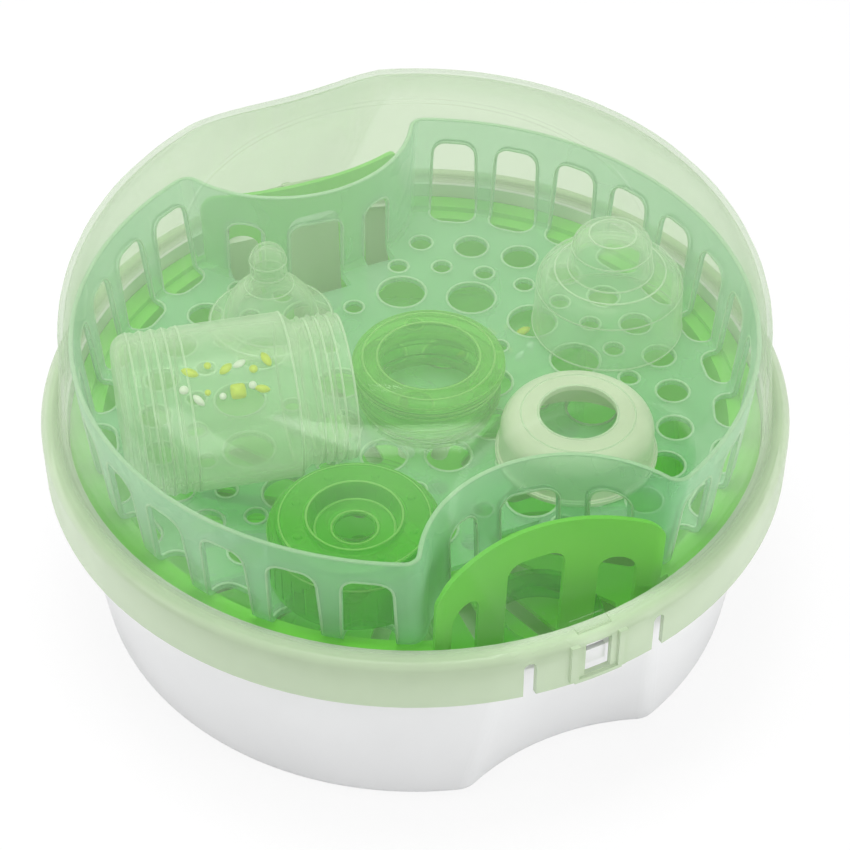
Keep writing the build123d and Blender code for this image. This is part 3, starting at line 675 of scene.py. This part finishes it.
def wrapped(outline, s, t, bottle, side):
    """A thin closed patch of print on a lying bottle, with a fan of faces over and under it and
    a wall round it"""
    outline = np.vstack([outline, outline.mean(0)[None]]) + (s, t)
    foot, heading = bottle
    along, beside = bottle_ways(heading)
    angle = outline[:, 1:] / BOTTLE_R
    points = np.vstack([
        np.array(foot) + outline[:, :1] * along
        + (BOTTLE_R + lift) * (side * np.sin(angle) * beside + np.cos(angle) * UP)
        for lift in (INK_TOP, INK_FOOT)
    ])
    count = len(outline) - 1
    under = count + 1
    here = np.arange(count)
    there = (here + 1) % count
    middle = np.full(count, count)
    faces = np.vstack([
        np.column_stack([here, there, middle]),
        np.column_stack([there + under, here + under, middle + under]),
        np.column_stack([here, here + under, there + under]),
        np.column_stack([here, there + under, there]),
    ])
    return points, faces[:, ::-1] if side > 0 else faces


# each motif's outline, how far along the bottle it lies and how far round
lime_motifs = [
    (leaf(6.4, 3.2, 0.5), 25.0, 12.5), (blob(2.6), 31.5, 10.8),
    (leaf(5.6, 3.0, -0.6), 37.5, 13.0), (blob(3.0), 47.0, 14.5),
    (leaf(6.0, 3.0, 1.2), 52.0, 11.5), (blob(5.4, 0.45), 40.5, 21.6),
    (blob(2.2), 30.0, 20.6), (leaf(5.4, 2.8, 0.3), 49.0, 22.0),
]
white_motifs = [
    (blob(3.2), 22.0, 18.5), (leaf(5.0, 2.6, -0.4), 42.5, 11.8),
    (leaf(5.2, 2.6, 0.9), 26.5, 22.8), (blob(2.4), 35.0, 22.6), (blob(2.8), 45.8, 20.2),
]
MATT = (0.5, 0.6)
lime_ink = solid_plastic("lime_ink", (0.62, 0.74, 0.06), (0.72, 0.82, 0.10), MATT, 0.02)
white_ink = solid_plastic("white_ink", (0.86, 0.90, 0.84), (0.92, 0.95, 0.90), MATT, 0.02)
for where, bottle, side, body in (("upper", UPPER_BOTTLE, 1.0, "rack"),
                                  ("lower", LOWER_BOTTLE, -1.0, "basket")):
    for ink, motifs in ((lime_ink, lime_motifs), (white_ink, white_motifs)):
        patches = [wrapped(*motif, bottle, side) for motif in motifs]
        new_piece(where + "_print_" + ink.name, *joined(patches), ink, body)

# %% [markdown]
# ## Light and floor
#
# The photograph is a cut-out on white: broad soft light from above, a brighter source to the
# upper left and almost no shadow. One lamp overhead, one at the left and a wide one in front at
# the right give that, with an even world. The camera, gloss and see-through plastic see a white
# world, but the light from it is weaker, so that pale plastic keeps its colour. The floor is
# nearly white by itself for the same reason, and keeps a share of matt so that it takes shadow.

# %% Light and floor
WORLD_LIGHT = 0.55
FLOOR_HALF_M = 3
FLOOR_WHITE_SHARE = 0.85
WHITE = (1, 1, 1, 1)
LAMP_TARGET = (0, 0, 0.09)
# each lamp's place and size in metres, and its watts
LAMPS = {
    "overhead_lamp": ((0.0, 0.1, 1.3), 0.6, 9.5),
    "left_lamp": ((-1.1, 0.2, 0.8), 0.5, 4.0),
    "front_lamp": ((0.75, -1.2, 0.45), 0.8, 6.5),
}

for name, (place, size, watts) in LAMPS.items():
    lamp = put(name, bpy.data.lights.new(name, "AREA"))
    lamp.data.size = size
    lamp.data.energy = watts
    turn_to(lamp, place, LAMP_TARGET)

world = bpy.data.worlds.new("white_world")
bpy.context.scene.world = world
world.use_nodes = True
sky_tree = world.node_tree
sky_tree.nodes.clear()
rays = add(sky_tree, "LightPath").outputs
seen = reckoned(sky_tree, "MAXIMUM", rays["Is Camera Ray"], rays["Is Transmission Ray"])
seen = reckoned(sky_tree, "MAXIMUM", seen, rays["Is Glossy Ray"])
strength = spread(sky_tree, seen, WORLD_LIGHT, 1.0, 0.0, 1.0)
sky = add(sky_tree, "Background", {"Color": WHITE, "Strength": strength})
sent_out(sky_tree, sky, "OutputWorld")

floor_mesh = bpy.data.meshes.new("floor")
floor_mesh.from_pydata([(FLOOR_HALF_M * x, FLOOR_HALF_M * y, 0)
                        for x, y in ((-1, -1), (1, -1), (1, 1), (-1, 1))], [], [(0, 1, 2, 3)])
floor = put("floor", floor_mesh)
floor_finish, floor_tree = new_finish("white_floor")
matt = add(floor_tree, "BsdfDiffuse", {"Color": (0.9, 0.9, 0.9, 1)})
white = add(floor_tree, "Emission", {"Color": WHITE, "Strength": 1.0})
floor_rays = add(floor_tree, "LightPath").outputs
floor_seen = reckoned(floor_tree, "MULTIPLY", floor_rays["Is Camera Ray"], FLOOR_WHITE_SHARE)
sent_out(floor_tree, add(floor_tree, "MixShader", {
    0: floor_seen, 1: matt.outputs[0], 2: white.outputs[0],
}))
floor_mesh.materials.append(floor_finish)
bpy.context.scene.view_settings.view_transform = "Standard"
# the view through the lid, bottles and rack passes many walls
bpy.context.scene.cycles.transparent_max_bounces = 32
print(len(LAMPS), "lamps, a world and a floor")
